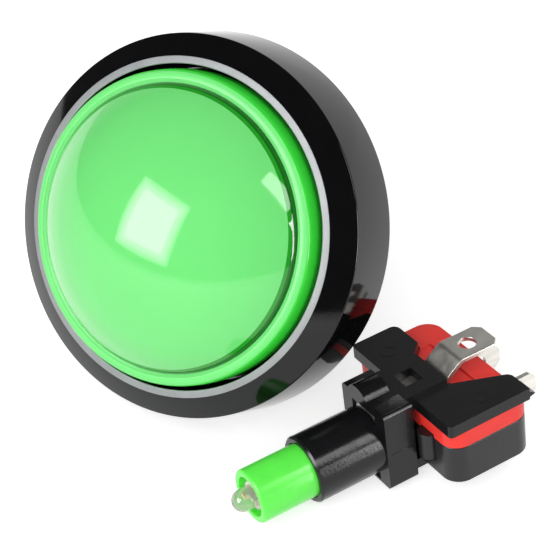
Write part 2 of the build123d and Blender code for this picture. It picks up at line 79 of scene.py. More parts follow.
# Unit frame: along the lamp, across the switch, up. Its zero is the lamp axis at the switch's front,
# and the blade's pivot lies at BLADE_U along and BLADE_W across.
BLADE_U, BLADE_W = -4.0, -7.8
unit_dir = -Vector(joints["switch_press"]["axis"]).normalized()
unit_up = Vector(joints["blade_swing"]["axis"]).normalized()
unit_wide = unit_up.cross(unit_dir)
unit_zero = Vector(joints["blade_swing"]["pos_m"]) - (unit_dir * BLADE_U + unit_wide * BLADE_W) * MM
UNIT = frame_matrix(unit_zero, unit_dir, unit_wide, unit_up)

# The unit's frame turned, so that its third axis runs along the lamp or across the switch
LAMP = UNIT @ Matrix(((0, 0, 1, 0), (1, 0, 0, 0), (0, 1, 0, 0), (0, 0, 0, 1)))
PROFILE = UNIT @ Matrix(((1, 0, 0, 0), (0, 0, 1, 0), (0, 1, 0, 0), (0, 0, 0, 1)))


# Head sizes in millimetres: radii from the button's axis and heights above the panel face

# Bezel and the cup that the dome moves in
BEZEL_R, BEZEL_FRONT_R, RIDGE_R, CUP_R = 32.2, 31.6, 27.8, 26.6
SIDE_H, RIDGE_H, LIP_H, CUP_FLOOR = 11.0, 13.5, 13.7, 5.4
FOOT_ROUND, SIDE_ROUND, CUP_ROUND, EDGE_ROUND = 0.5, 0.4, 0.6, 0.2
LIP_PAST_RIDGE, LIP_UNDER_RIDGE = 0.08, 0.1

# Open hollow between the cup and the bezel's wall, with its ribs
CUP_OUT_R, WALL_IN_R, CUP_UNDER = 28.3, 29.6, 3.8
HOLLOW_CUP_TOP, HOLLOW_WALL_TOP, HOLLOW_ROUND = 9.49, 8.4, 0.3
RIB_COUNT, RIB_START, RIB_STOP, RIB_HALF, RIB_TOP = 8, 11.7, 29.9, 0.8, 4.0

# Barrel with its guide, keyways and thread
BARREL_R, BORE_R, GUIDE_R, KEY_HALF_W = 12.0, 10.25, 8.75, 2.5
GUIDE_TOP, GUIDE_END, KEY_TOP, BARREL_END = 0.6, -8.0, -32.0, -36.0
NECK_TOP, NECK_END, NECK_FILLET, COLLAR_ROUND = -0.2, -0.8, 0.8, 0.5
THREAD_TOP, THREAD_LENGTH, THREAD_SINK = -0.9, 30.6, 0.05

# Thread's half widths as shares of its pitch, and its least height as a share of the full one
THREAD_FOOT, THREAD_CREST, THREAD_LEAST = 0.46, 0.16, 0.02
THREAD_STEPS, COLLAR_SEGMENTS = 96, 64

# Lens: dome, groove, rim ring and skirt
DOME_R, DOME_H, LENS_WALL = 23.5, 12.0, 1.8
GROOVE_DEPTH, GROOVE_FOOT_R, GROOVE_TOP_R, GROOVE_ROUND = 0.4, 23.55, 24.2, 0.15
RING_R, RING_S, RING_ROUND, SHOULDER_ROUND = 25.55, 16.4, 1.3, 0.45
LENS_R, LENS_IN_R, LENS_FOOT, LENS_STEP, LENS_SHOULDER = 25.85, 24.05, 11.0, 12.35, 13.2
SPHERE_R = (DOME_R**2 + DOME_H**2) / (2 * DOME_H)
SPHERE_S = RING_S + DOME_H - SPHERE_R

# Where the lens changes its finish, and how dark the painted shade on its edge, foot and groove is beside the
# flank
FLANK_START_R = RING_R - 0.15
EDGE_START_R, FOOT_START_R, EDGE_ABOVE = DOME_R - 0.75, DOME_R - 0.35, LENS_SHOULDER + 1
GROOVE_WALL_R, GROOVE_ABOVE = DOME_R - 0.02, RING_S - 1.5
EDGE_SHADE, FOOT_SHADE, GROOVE_SHADE = 0.4, 0.17, 0.12

# Diffuser: its gap under the lens, its wall and its foot
DIFFUSER_GAP, DIFFUSER_WALL, DIFFUSER_FOOT = 1.0, 1.2, 12.3


# Unit sizes in millimetres

# Lamp: radii from its axis and places along it
CAPSULE_R, RECESS_R, CAPSULE_START, CAPSULE_END = 4.65, 3.4, 14.0, 29.7
CAPSULE_ROUND, RECESS_ROUND = 0.5, 0.25
LED_R, LED_RIM_R, LED_SEAT, LED_TIP = 1.9, 2.5, 28.1, 32.8
LED_RIM_END, NOSE_STEPS = LED_SEAT + 1.0, 16

# Fittings in the lamp's nose: a pale cup, two posts and a chip on the first post
LAMP_CUP_LOW, LAMP_CUP_INSIDE, LAMP_CUP_HIGH = LED_SEAT + 0.1, LED_SEAT + 0.2, LED_SEAT + 0.9
LAMP_CUP_RIM_R, LAMP_CUP_MOUTH_R, LAMP_CUP_BASE_R = LED_RIM_R - 0.15, LED_R - 0.3, LED_R - 0.6
FIRST_POST = ((-0.9, -0.35, LAMP_CUP_INSIDE), (-0.15, 0.35, LED_SEAT + 2.2))
SECOND_POST = ((0.15, -0.3, LAMP_CUP_INSIDE), (0.7, 0.3, LED_SEAT + 1.8))
CHIP = ((-0.85, -0.3, LED_SEAT + 2.2), (-0.2, 0.3, LED_SEAT + 2.5))
POST_EDGE, CHIP_EDGE = 0.08, 0.05

# Holder: places along, across and above the lamp's axis
BLOCK_BACK, BLOCK_FRONT, BLOCK_HALF_W, BLOCK_TOP = 1.8, 7.3, 6.1, 8.2
WING_TOP, WING_UNDER, WING_SIDE, WING_CORNER = 7.35, 5.15, 14.0, 1.4
LONG_WING_END, LONG_WING_TIP, LONG_WING_FOOT, LONG_WING_ROOT, PLATE_SIDE = 15.5, 9.0, 6.6, 4.9, 4.5
SHORT_WING_END, SHORT_WING_ROOT, SHORT_WING_SKIN = 8.8, 4.6, 0.05

# What the wings' cutter takes beyond the wings, and how its round corner stays inside its step
CUT_REACH, CUT_BELOW, CUT_ABOVE, CUT_PAST, CORNER_SHARE = 30.0, 6.0, 1.0, 0.01, 0.99

# Beak at the long wing's end
BEAK_SUNK, BEAK_REACH, BEAK_DROP, BEAK_TIP_H, BEAK_FOOT_H = 0.4, 1.2, 0.4, 0.7, 0.15
BEAK_WIDE, BEAK_INSET = 4.0, 0.1

# Fine marks of the mould: how deep they sit in the holder, and their own places and sizes
MARK_SINK, MARK_PROUD = 0.1, 0.05
PATCH_INSET, PATCH_INNER_W, PATCH_OUTER_INSET, PATCH_PROUD, PATCH_EDGE = 0.3, 2.6, 0.6, 0.06, 0.04
PARTING_INSET, PARTING_HALF, PARTING_EDGE = 0.8, 0.08, 0.03
EJECTOR_MARKS, EJECTOR_IN_R, EJECTOR_R = ((-8.1, 10.8), (-3.6, -8.6)), 1.15, 1.35

# Edge roundings in metres of the pieces that have their own
NUT_EDGE, BUTTON_EDGE, STRIP_EDGE = 0.25 * MM, 0.1 * MM, 0.12 * MM

# How much lighter the nut and the switch's base are than the holder
NUT_TINT, SWITCH_TINT = 1.4, 1.5

# Stretch of the brush lines: even in all directions, or along the terminals
EVEN, ALONG_STRIP = (1, 1, 1), (0.3, 0.12, 1)


# Stage places in metres and degrees

# Lamps face a point on the button's axis
AIM_OUT = 0.02
KEY_AZIMUTH, KEY_ELEVATION, KEY_DISTANCE, KEY_SIZE = 10, 32, 0.55, (0.42, 0.46)

# Cards that show in mirrors alone: name, azimuth, elevation, distance, size and radiance
FRONT_AZIMUTH, FRONT_ELEVATION = -17, 27
CARDS = (
    ("front_wide", FRONT_AZIMUTH, FRONT_ELEVATION, 0.55, (0.4, 0.44), 4.5),
    ("front_card", FRONT_AZIMUTH, FRONT_ELEVATION, 0.56, (0.36, 0.39), 4.0),
    ("front_core", FRONT_AZIMUTH, FRONT_ELEVATION, 0.57, (0.29, 0.32), 5.0),
    ("side_card", 95, 42, 0.7, (0.12, 0.3), 8.0),
    ("low_card", 94, 8, 0.7, (0.16, 0.4), 16.0),
)

# Floor, its own glow, and the room as mirrors and glass show it: bright one way, dim the other
FLOOR_HALF, FLOOR_GLOW = 3, 0.6
BRIGHT_WAY, BRIGHT_START, BRIGHT_FULL = (0, 0.8, -0.6), 0.05, 0.6
ROOM_DIM, ROOM_BRIGHT = 0.06, 1.0

# Room as the camera sees it
BACKDROP = 1.0

# Camera, from the point where the bezel stands on the table
TOUCH_AHEAD = 0.01576
CAMERA_FROM_TOUCH = Vector((0.1423, -0.1909, 0.2207))
CAMERA_FORWARD = Vector((-0.4113, 0.6554, -0.6335))
CAMERA_NEAR = 0.01


# Settings

class HeadSettings(bpy.types.PropertyGroup):
    """Sizes and colours of the button's head."""

    bezel_colour: FloatVectorProperty(
        name="Bezel colour", description="Black of the bezel and barrel", subtype="COLOR", size=3,
        min=0, max=1, default=(0.003, 0.003, 0.0035))
    # Painted reflection: the lip's grey stands in for the softbox's reflection on the bezel's black gloss
    lip_reflection_colour: FloatVectorProperty(
        name="Lip colour", description="Satin grey of the bezel's inner lip", subtype="COLOR", size=3,
        min=0, max=1, default=(0.33, 0.333, 0.352))
    lens_colour: FloatVectorProperty(
        name="Lens colour", description="Tint of the clear dome", subtype="COLOR", size=3,
        min=0, max=1, default=(0.23, 0.97, 0.265))
    flank_colour: FloatVectorProperty(
        name="Flank colour", description="Deeper tint of the rim ring's outer side", subtype="COLOR",
        size=3, min=0, max=1, default=(0.05, 0.9, 0.055))
    diffuser_colour: FloatVectorProperty(
        name="Diffuser colour", description="Milky dome under the lens", subtype="COLOR", size=3,
        min=0, max=1, default=(0.86, 0.95, 0.86))
    plunger_colour: FloatVectorProperty(
        name="Plunger colour", description="Natural white of the plunger", subtype="COLOR", size=3,
        min=0, max=1, default=(0.78, 0.78, 0.74))
    spring_colour: FloatVectorProperty(
        name="Spring colour", description="Steel of the return spring", subtype="COLOR", size=3,
        min=0, max=1, default=(0.62, 0.62, 0.62))
    thread_pitch: FloatProperty(
        name="Thread pitch", description="Rise of the barrel's thread in one turn", unit="LENGTH",
        min=0.001, max=0.004, default=0.0025)
    thread_depth: FloatProperty(
        name="Thread depth", description="Height of the barrel's thread", unit="LENGTH",
        min=0.0002, max=0.0012, default=0.0007)


class UnitSettings(bpy.types.PropertyGroup):
    """Colours and edges of the switch and lamp unit."""

    cover_colour: FloatVectorProperty(
        name="Cover colour", description="Red of the switch's cover", subtype="COLOR", size=3,
        min=0, max=1, default=(0.98, 0.045, 0.035))
    holder_colour: FloatVectorProperty(
        name="Holder colour", description="Black of the holder and the switch's base", subtype="COLOR",
        size=3, min=0, max=1, default=(0.008, 0.008, 0.009))
    lamp_colour: FloatVectorProperty(
        name="Lamp colour", description="Green of the lamp's capsule", subtype="COLOR", size=3,
        min=0, max=1, default=(0.13, 0.97, 0.085))
    nose_colour: FloatVectorProperty(
        name="Nose colour", description="Tint of the lamp's clear nose", subtype="COLOR", size=3,
        min=0, max=1, default=(0.97, 0.94, 0.9))
    cup_colour: FloatVectorProperty(
        name="Cup colour", description="Pale cup in the lamp's nose", subtype="COLOR", size=3,
        min=0, max=1, default=(0.85, 0.8, 0.66))
    chip_colour: FloatVectorProperty(
        name="Chip colour", description="Yellow of the lamp's chip", subtype="COLOR", size=3,
        min=0, max=1, default=(0.8, 0.62, 0.12))
    metal_colour: FloatVectorProperty(
        name="Metal colour", description="Plating of the terminals", subtype="COLOR", size=3,
        min=0, max=1, default=(0.68, 0.66, 0.61))
    brass_colour: FloatVectorProperty(
        name="Brass colour", description="Brass of the contact blade", subtype="COLOR", size=3,
        min=0, max=1, default=(0.75, 0.55, 0.25))
    edge_round: FloatProperty(
        name="Edge rounding", description="Rounding of the moulded edges", unit="LENGTH",
        min=0.00005, max=0.0004, default=0.00018)


class StageSettings(bpy.types.PropertyGroup):
    """Floor, light and camera."""

    floor_colour: FloatVectorProperty(
        name="Floor colour", description="Paper under the object", subtype="COLOR", size=3,
        min=0, max=1, default=(0.8, 0.8, 0.8))
    view_angle: FloatProperty(
        name="View angle", description="Camera's angle of view", subtype="ANGLE",
        min=radians(5), max=radians(60), default=radians(17.0))
    room_light: FloatProperty(
        name="Room light", description="Strength of the white room", min=0, max=2, default=0.6)
    key_light: FloatProperty(
        name="Key light", description="Strength of the front softbox", min=0, max=20, default=3.2)


# Mesh tools

# What counts as nothing, the distance in metres that is welded, and the angles of flats and edges
TINY, WELD = 1e-6, 2e-6
FLAT_ANGLE, EASE_ANGLE = radians(0.5), radians(38)


def new_piece(name, mesh, material, body, slot, *nodes):
    """Object for a finished mesh, riding on its body in place of the CAD nodes."""
    piece = bpy.data.objects.new(name, mesh)
    bpy.context.scene.collection.objects.link(piece)
    mesh.materials.append(material)
    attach(piece, body)
    if nodes:
        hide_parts(*nodes)
    return piece


def dress(node, material):
    """Gives a CAD node that is shown as it is its finish."""
    mesh = frame["nodes"][node].data
    mesh.materials.clear()
    mesh.materials.append(material)


def other_finish(mesh, place, material, chosen):
    """Gives the faces chosen by centre and normal, both in a frame's millimetres, another material."""
    mesh.materials.append(material)
    back = place.inverted()
    turn = back.to_3x3()
    for face in mesh.polygons:
        if chosen(back @ face.center, turn @ face.normal):
            face.material_index = len(mesh.materials) - 1


def band(inner, outer=inf, above=-inf, below=inf):
    """Choice of the faces whose centres lie between two radii and two heights."""
    def chosen(centre, normal):
        return inner < hypot(centre.x, centre.y) < outer and above < centre.z < below
    return chosen


def finish_mesh(bm, name, sharp=32):
    """Mesh from a bmesh, outward facing and smooth up to the sharp angle in degrees."""
    bmesh.ops.recalc_face_normals(bm, faces=bm.faces)
    mesh = bpy.data.meshes.new(name)
    bm.to_mesh(mesh)
    bm.free()
    mesh.polygons.foreach_set("use_smooth", [True] * len(mesh.polygons))
    mesh.set_sharp_from_angle(angle=radians(sharp))
    return mesh


def rounded_path(corners, turn=9):
    """Polyline through corners of (x, y, radius), each rounded to its radius; (x, y) stays sharp."""
    points = [Vector(corner[:2]) for corner in corners]
    path = []
    for index, corner in enumerate(corners):
        point = points[index]
        if len(corner) == 2:
            path.append(point)
            continue
        radius = corner[2]
        before = (points[index - 1] - point).normalized()
        after = (points[(index + 1) % len(points)] - point).normalized()
        opening = before.angle(after)
        setback = radius / tan(opening / 2)
        centre = point + (before + after).normalized() * (radius / sin(opening / 2))
        start = point + before * setback - centre
        stop = point + after * setback - centre
        swing = atan2(start.x * stop.y - start.y * stop.x, start.dot(stop))
        steps = max(2, ceil(abs(swing) / radians(turn)))
        for step in range(steps + 1):
            path.append(centre + Matrix.Rotation(swing * step / steps, 2) @ start)
    return path


def lathe(bm, path, place, segments=192, first=0.0, sweep=2 * pi, closed=True):
    """Turns a path of (radius, height) about the frame's third axis; a part turn gets end caps."""
    full = sweep > 2 * pi - TINY
    columns = segments if full else segments + 1
    rings = []
    for radius, height in path:
        if radius < TINY:
            rings.append([bm.verts.new(place @ Vector((0, 0, height)))] * columns)
            continue
        ring = []
        for column in range(columns):
            angle = first + sweep * column / segments
            ring.append(bm.verts.new(place @ Vector((radius * cos(angle), radius * sin(angle), height))))
        rings.append(ring)
    spans = list(zip(rings, rings[1:]))
    if closed:
        spans.append((rings[-1], rings[0]))
    for lower, upper in spans:
        for column in range(segments):
            after = (column + 1) % columns
            corners = [lower[column], lower[after], upper[after], upper[column]]
            corners = [v for i, v in enumerate(corners) if v not in corners[:i]]
            if len(corners) > 2:
                bm.faces.new(corners)
    if not full:
        bm.faces.new([ring[0] for ring in rings])
        bm.faces.new([ring[-1] for ring in rings])


def block(bm, place, low, high, edge):
    """Box with rounded edges between two corners of a frame."""
    size = [b - a for a, b in zip(low, high)]
    middle = [(a + b) / 2 for a, b in zip(low, high)]
    made = bmesh.ops.create_cube(
        bm, size=1, matrix=Matrix.Translation(middle) @ Matrix.Diagonal((*size, 1)))
    edges = list({e for v in made["verts"] for e in v.link_edges})
    bevelled = bmesh.ops.bevel(bm, geom=edges, offset=edge, segments=2, profile=0.5, affect="EDGES")
    verts = {v for f in bevelled["faces"] for v in f.verts} | {v for v in made["verts"] if v.is_valid}
    bmesh.ops.transform(bm, matrix=place, verts=list(verts))


def prism(bm, place, outline, low, high):
    """Upright prism on an outline in a frame."""
    rings = []
    for level in (low, high):
        rings.append([bm.verts.new(place @ Vector((*point, level))) for point in outline])
    for ring in rings:
        bm.faces.new(ring)
    for index in range(len(outline)):
        after = (index + 1) % len(outline)
        bm.faces.new([rings[0][index], rings[0][after], rings[1][after], rings[1][index]])


def cut_away(mesh, cutter):
    """Mesh with the cutter's volume taken off."""
    part, tool = bpy.data.objects.new("part", mesh), bpy.data.objects.new("tool", cutter)
    for item in (part, tool):
        bpy.context.scene.collection.objects.link(item)
    trim = part.modifiers.new("Trim", "BOOLEAN")
    trim.operation = "DIFFERENCE"
    trim.object = tool
    trimmed = bpy.data.meshes.new_from_object(part.evaluated_get(bpy.context.evaluated_depsgraph_get()))
    for item in (part, tool):
        bpy.data.objects.remove(item)
    return trimmed


def eased_copy(node, name, material, body, slot, edge, cutter=None):
    """Copy of a CAD node with its edges rounded, in place of the node; a cutter trims it first."""
    source = frame["nodes"][node].data
    bm = bmesh.new()
    corners = [bm.verts.new(vertex.co) for vertex in source.vertices]
    for face in source.polygons:
        bm.faces.new([corners[index] for index in face.vertices])
    bmesh.ops.remove_doubles(bm, verts=bm.verts, dist=WELD)
    bmesh.ops.dissolve_limit(bm, angle_limit=FLAT_ANGLE, verts=bm.verts, edges=bm.edges)
    mesh = finish_mesh(bm, name, sharp=180)
    if cutter:
        mesh = cut_away(mesh, cutter)
    piece = new_piece(name, mesh, material, body, slot, node)
    ease = piece.modifiers.new("Edges", "BEVEL")
    ease.width = edge
    ease.segments = 2
    ease.limit_method = "ANGLE"
    ease.angle_limit = EASE_ANGLE
    ease.use_clamp_overlap = True
    ease.harden_normals = True
    return piece


# Materials

# Parts of a pattern's range that tones and values are spread over
TONE_START, TONE_STOP = 0.3, 0.7
SPREAD_START, SPREAD_STOP = 0.25, 0.75

# Shares by which roughness and tint vary, limits of roughness, and tones beside a colour
MOULDING_VARIES, LENS_VARIES, LENS_FLOW = 0.2, 0.15, 0.015
MILKY_ROUGH, PLATED_ROUGH = (0.42, 0.55), (0.34, 0.46)
MILKY_LOW, PLATED_LOW, PLATED_HIGH = 0.97, 0.86, 1.1
PLASTIC_IOR = 1.49


def larger(tree, first, second):
    """Larger of two values."""
    node = tree.nodes.new("ShaderNodeMath")
    node.operation = "MAXIMUM"
    tree.links.new(first, node.inputs[0])
    tree.links.new(second, node.inputs[1])
    return node.outputs[0]


def between(tree, value, low=0, high=1):
    """Node that takes a value between two limits to another range."""
    node = tree.nodes.new("ShaderNodeMapRange")
    node.inputs["From Min"].default_value = low
    node.inputs["From Max"].default_value = high
    tree.links.new(value, node.inputs["Value"])
    return node


def surface(name):
    """New material with its shader, and the object coordinates that its patterns use."""
    material = bpy.data.materials.new(name)
    material.use_nodes = True
    tree = material.node_tree
    shader = tree.nodes["Principled BSDF"]
    place = tree.nodes.new("ShaderNodeTexCoord")
    return material, tree, shader, place.outputs["Object"]


def noise(tree, place, scale, detail=3.0, stretch=None):
    """Noise pattern; scale is in features per metre."""
    if stretch:
        mapping = tree.nodes.new("ShaderNodeMapping")
        mapping.inputs["Scale"].default_value = stretch
        tree.links.new(place, mapping.inputs["Vector"])
        place = mapping.outputs["Vector"]
    pattern = tree.nodes.new("ShaderNodeTexNoise")
    pattern.inputs["Scale"].default_value = scale
    pattern.inputs["Detail"].default_value = detail
    tree.links.new(place, pattern.inputs["Vector"])
    return pattern.outputs["Fac"]


def tone(tree, factor, low, high, socket):
    """Colour between two tones by a pattern."""
    ramp = tree.nodes.new("ShaderNodeValToRGB")
    ramp.color_ramp.elements[0].position = TONE_START
    ramp.color_ramp.elements[0].color = (*low, 1)
    ramp.color_ramp.elements[1].position = TONE_STOP
    ramp.color_ramp.elements[1].color = (*high, 1)
    tree.links.new(factor, ramp.inputs["Fac"])
    tree.links.new(ramp.outputs["Color"], socket)


def spread(tree, factor, low, high, socket):
    """Value between two limits by a pattern."""
    node = between(tree, factor, SPREAD_START, SPREAD_STOP)
    node.inputs["To Min"].default_value = low
    node.inputs["To Max"].default_value = high
    tree.links.new(node.outputs["Result"], socket)


def relief(tree, factor, depth, strength, shader):
    """Bump from a pattern; depth in metres."""
    bump = tree.nodes.new("ShaderNodeBump")
    bump.inputs["Distance"].default_value = depth
    bump.inputs["Strength"].default_value = strength
    tree.links.new(factor, bump.inputs["Height"])
    tree.links.new(bump.outputs["Normal"], shader.inputs["Normal"])


def scaled(colour, factor):
    """Colour made lighter or darker."""
    return tuple(min(1.0, channel * factor) for channel in colour)


def around(value, share):
    """Limits a share below and above a value."""
    return value * (1 - share), value * (1 + share)


def moulding(name, colour, rough, grain, depth, shine=0.5, mottle=0.15):
    """Moulded plastic: slight mottle, roughness that varies and a fine grain."""
    material, tree, shader, place = surface(name)
    low, high = scaled(colour, 1 - mottle), scaled(colour, 1 + mottle)
    tone(tree, noise(tree, place, scale=260), low, high, shader.inputs["Base Color"])
    low, high = around(rough, MOULDING_VARIES)
    spread(tree, noise(tree, place, scale=420), low, high, shader.inputs["Roughness"])
    relief(tree, noise(tree, place, scale=grain, detail=2), depth, strength=0.4, shader=shader)
    shader.inputs["Specular IOR Level"].default_value = shine
    return material


def clear_lens(name, colour, clearness, rough=0.025, shine=0.5):
    """Clear or cloudy tinted plastic with a faint flow pattern."""
    material, tree, shader, place = surface(name)
    low, high = scaled(colour, 1 - LENS_FLOW), scaled(colour, 1 + LENS_FLOW)
    tone(tree, noise(tree, place, scale=60), low, high, shader.inputs["Base Color"])
    low, high = around(rough, LENS_VARIES)
    spread(tree, noise(tree, place, scale=300), low, high, shader.inputs["Roughness"])
    shader.inputs["Transmission Weight"].default_value = clearness
    shader.inputs["IOR"].default_value = PLASTIC_IOR
    shader.inputs["Specular IOR Level"].default_value = shine
    return material


def milky(name, colour):
    """Milky plastic that scatters light."""
    material, tree, shader, place = surface(name)
    low = scaled(colour, MILKY_LOW)
    tone(tree, noise(tree, place, scale=120), low, colour, shader.inputs["Base Color"])
    spread(tree, noise(tree, place, scale=500), *MILKY_ROUGH, shader.inputs["Roughness"])
    return material


def plated(name, colour, along):
    """Rolled and plated strip: brush lines along one direction, satin."""
    material, tree, shader, place = surface(name)
    lines = noise(tree, place, scale=900, detail=4, stretch=along)
    low, high = scaled(colour, PLATED_LOW), scaled(colour, PLATED_HIGH)
    tone(tree, lines, low, high, shader.inputs["Base Color"])
    spread(tree, noise(tree, place, scale=700), *PLATED_ROUGH, shader.inputs["Roughness"])
    relief(tree, lines, depth=0.00002, strength=0.25, shader=shader)
    shader.inputs["Metallic"].default_value = 1.0
    return material


# Pieces of the head

def housing_section(root):
    """Closed section of bezel, cup and barrel; root is the barrel's radius under its thread."""
    return rounded_path([
        (BEZEL_R, 0, FOOT_ROUND), (BEZEL_FRONT_R, SIDE_H, SIDE_ROUND), (RIDGE_R, RIDGE_H, EDGE_ROUND),
        (CUP_R, LIP_H, EDGE_ROUND), (CUP_R, CUP_FLOOR, CUP_ROUND), (BORE_R, CUP_FLOOR, EDGE_ROUND),
        (BORE_R, GUIDE_TOP), (GUIDE_R, GUIDE_TOP, EDGE_ROUND), (GUIDE_R, GUIDE_END, EDGE_ROUND),
        (BORE_R, GUIDE_END), (BORE_R, KEY_TOP), (root, KEY_TOP), (root, NECK_END), (BARREL_R, NECK_TOP),
        (BARREL_R, CUP_UNDER, NECK_FILLET), (CUP_OUT_R, CUP_UNDER, EDGE_ROUND),
        (CUP_OUT_R, HOLLOW_CUP_TOP, HOLLOW_ROUND), (WALL_IN_R, HOLLOW_WALL_TOP, HOLLOW_ROUND),
        (WALL_IN_R, 0, EDGE_ROUND)])


def collar(bm):
    """Collar at the barrel's end, open at the two keyways."""
    section = rounded_path([
        (BORE_R, KEY_TOP), (BORE_R, BARREL_END, EDGE_ROUND), (BARREL_R, BARREL_END, COLLAR_ROUND),
        (BARREL_R, KEY_TOP)])
    half_key = asin(KEY_HALF_W / BARREL_R)
    for side in (0, pi):
        lathe(bm, section, HEAD, COLLAR_SEGMENTS, side + half_key, pi - 2 * half_key)


def thread(bm, root, pitch):
    """Ridge wound round the barrel, which fades in and out over a quarter of a turn."""
    foot = root - THREAD_SINK
    last = THREAD_LENGTH / pitch * THREAD_STEPS
    quarter = THREAD_STEPS / 4
    rows = []
    for step in range(int(last) + 1):
        angle = 2 * pi * step / THREAD_STEPS
        height = THREAD_TOP - pitch * step / THREAD_STEPS
        fade = max(THREAD_LEAST, min(1, step / quarter, (last - step) / quarter))
        crest = foot + (BARREL_R - foot) * fade
        row = []
        for offset, radius in ((-THREAD_FOOT, foot), (-THREAD_CREST, crest),
                               (THREAD_CREST, crest), (THREAD_FOOT, foot)):
            point = Vector((radius * cos(angle), radius * sin(angle), height + offset * pitch))
            row.append(bm.verts.new(HEAD @ point))
        rows.append(row)
    for before, after in zip(rows, rows[1:]):
        for i in range(len(before) - 1):
            bm.faces.new([before[i], before[i + 1], after[i + 1], after[i]])


def ribs(bm):
    """Ribs across the bezel's open back."""
    for index in range(RIB_COUNT):
        spoke = HEAD @ Matrix.Rotation(2 * pi * index / RIB_COUNT, 4, "Z")
        block(bm, spoke, (RIB_START, -RIB_HALF, 0), (RIB_STOP, RIB_HALF, RIB_TOP), EDGE_ROUND)


class PUSHBUTTON_OT_housing(bpy.types.Operator):
    """Bezel, cup, ribs and threaded barrel in one moulding"""

    bl_idname = "push_button.housing"
    bl_label = "Housing"

    def execute(self, context):
        settings = context.scene.push_button_head
        root = BARREL_R - settings.thread_depth / MM
        bm = bmesh.new()
        lathe(bm, housing_section(root), HEAD)
        collar(bm)
        thread(bm, root, settings.thread_pitch / MM)
        ribs(bm)
        mesh = finish_mesh(bm, "housing_moulding")
        gloss = moulding(
            "black_gloss_moulding", settings.bezel_colour,
            rough=0.08, grain=2600, depth=0.00001, shine=0.35)
        new_piece("housing_moulding", mesh, gloss, "base", "black_gloss", "housing")
        # Painted reflection: the inner lip gets a satin grey that stands in for the softbox's reflection on the
        # black gloss
        satin = moulding(
            "grey_lip_painted_reflection", settings.lip_reflection_colour,
            rough=0.3, grain=2600, depth=0.00001, shine=0.25, mottle=0.06)
        lip = band(CUP_R, RIDGE_R + LIP_PAST_RIDGE, above=RIDGE_H - LIP_UNDER_RIDGE)
        other_finish(mesh, HEAD, satin, lip)
        return {"FINISHED"}


def dome_arc(radius, base, steps=40):
    """Points of a dome's section from its base height up to the axis."""
    low = asin((base - SPHERE_S) / radius)
    angles = [low + (pi / 2 - low) * step / steps for step in range(steps)]
    points = [Vector((radius * cos(angle), SPHERE_S + radius * sin(angle))) for angle in angles]
    return points + [Vector((0, SPHERE_S + radius))]


class PUSHBUTTON_OT_dome(bpy.types.Operator):
    """Clear green lens with its rim ring, and the milky dome under it"""

    bl_idname = "push_button.dome"
    bl_label = "Dome"

    def execute(self, context):
        settings = context.scene.push_button_head
        self.lens(settings.lens_colour, settings.flank_colour)
        self.diffuser(settings.diffuser_colour)
        return {"FINISHED"}

    def lens(self, colour, deep):
        """Lens in one turned shell; its ring, edge, inside and groove have finishes of their own, and its edge,
        foot and groove are darkened with painted shade.
        """
        inner = dome_arc(SPHERE_R - LENS_WALL, LENS_SHOULDER)
        skirt = rounded_path([
            (DOME_R, RING_S), (DOME_R, RING_S - GROOVE_DEPTH), (GROOVE_FOOT_R, RING_S - GROOVE_DEPTH),
            (GROOVE_TOP_R, RING_S, GROOVE_ROUND), (RING_R, RING_S, RING_ROUND),
            (LENS_R, LENS_SHOULDER, SHOULDER_ROUND), (LENS_R, LENS_FOOT, EDGE_ROUND),
            (LENS_IN_R, LENS_FOOT), (LENS_IN_R, LENS_STEP, EDGE_ROUND), inner[0]])
        bm = bmesh.new()
        lathe(bm, list(reversed(dome_arc(SPHERE_R, RING_S))) + skirt[1:-1] + inner, HEAD, closed=False)
        mesh = finish_mesh(bm, "dome_lens", sharp=40)
        outside = clear_lens("green_lens_outside", colour, clearness=0.25, rough=0.07)
        new_piece("dome_lens", mesh, outside, "press", "lens_green", "lens")
        rim = clear_lens("green_lens_rim", colour, clearness=0.15, rough=0.16, shine=0.12)
        other_finish(mesh, HEAD, rim, band(DOME_R))
        flank = clear_lens("green_lens_flank", deep, clearness=0.15, rough=0.16, shine=0.12)
        other_finish(mesh, HEAD, flank, band(FLANK_START_R))
        # Painted shade: the dome's edge and foot get darker greens that stand in for the shade at the groove and
        # the dark inside seen through the clear plastic
        edge = clear_lens("green_lens_edge_painted_shade", scaled(deep, EDGE_SHADE), clearness=0.1)
        other_finish(mesh, HEAD, edge, band(EDGE_START_R, DOME_R, above=EDGE_ABOVE))
        foot = clear_lens("green_lens_foot_painted_shade", scaled(deep, FOOT_SHADE), clearness=0.1)
        other_finish(mesh, HEAD, foot, band(FOOT_START_R, DOME_R, above=EDGE_ABOVE))
        inside = clear_lens("green_lens_inside", colour, clearness=1.0)
        middle = Vector((0, 0, SPHERE_S))
        other_finish(mesh, HEAD, inside, lambda centre, normal: normal.dot(centre - middle) < 0)
        # Painted shade: the groove is an opaque, very dark green that stands in for the shade inside it
        groove = clear_lens("green_lens_groove_painted_shade", scaled(deep, GROOVE_SHADE), clearness=0.0, rough=0.2)
        other_finish(mesh, HEAD, groove, band(GROOVE_WALL_R, GROOVE_FOOT_R, GROOVE_ABOVE, RING_S))

    def diffuser(self, colour):
        """Milky shell that follows the lens at a gap."""
        radius = SPHERE_R - LENS_WALL - DIFFUSER_GAP
        outer, under = dome_arc(radius, DIFFUSER_FOOT), dome_arc(radius - DIFFUSER_WALL, DIFFUSER_FOOT)
        foot = [Vector((outer[0].x, LENS_FOOT)), Vector((under[0].x, LENS_FOOT))]
        bm = bmesh.new()
        lathe(bm, list(reversed(outer)) + foot + under, HEAD, closed=False)
        mesh = finish_mesh(bm, "milky_dome", sharp=40)
        pale = milky("milky_diffuser", colour)
        new_piece("milky_dome", mesh, pale, "press", "diffuser_pale", "diffuser")


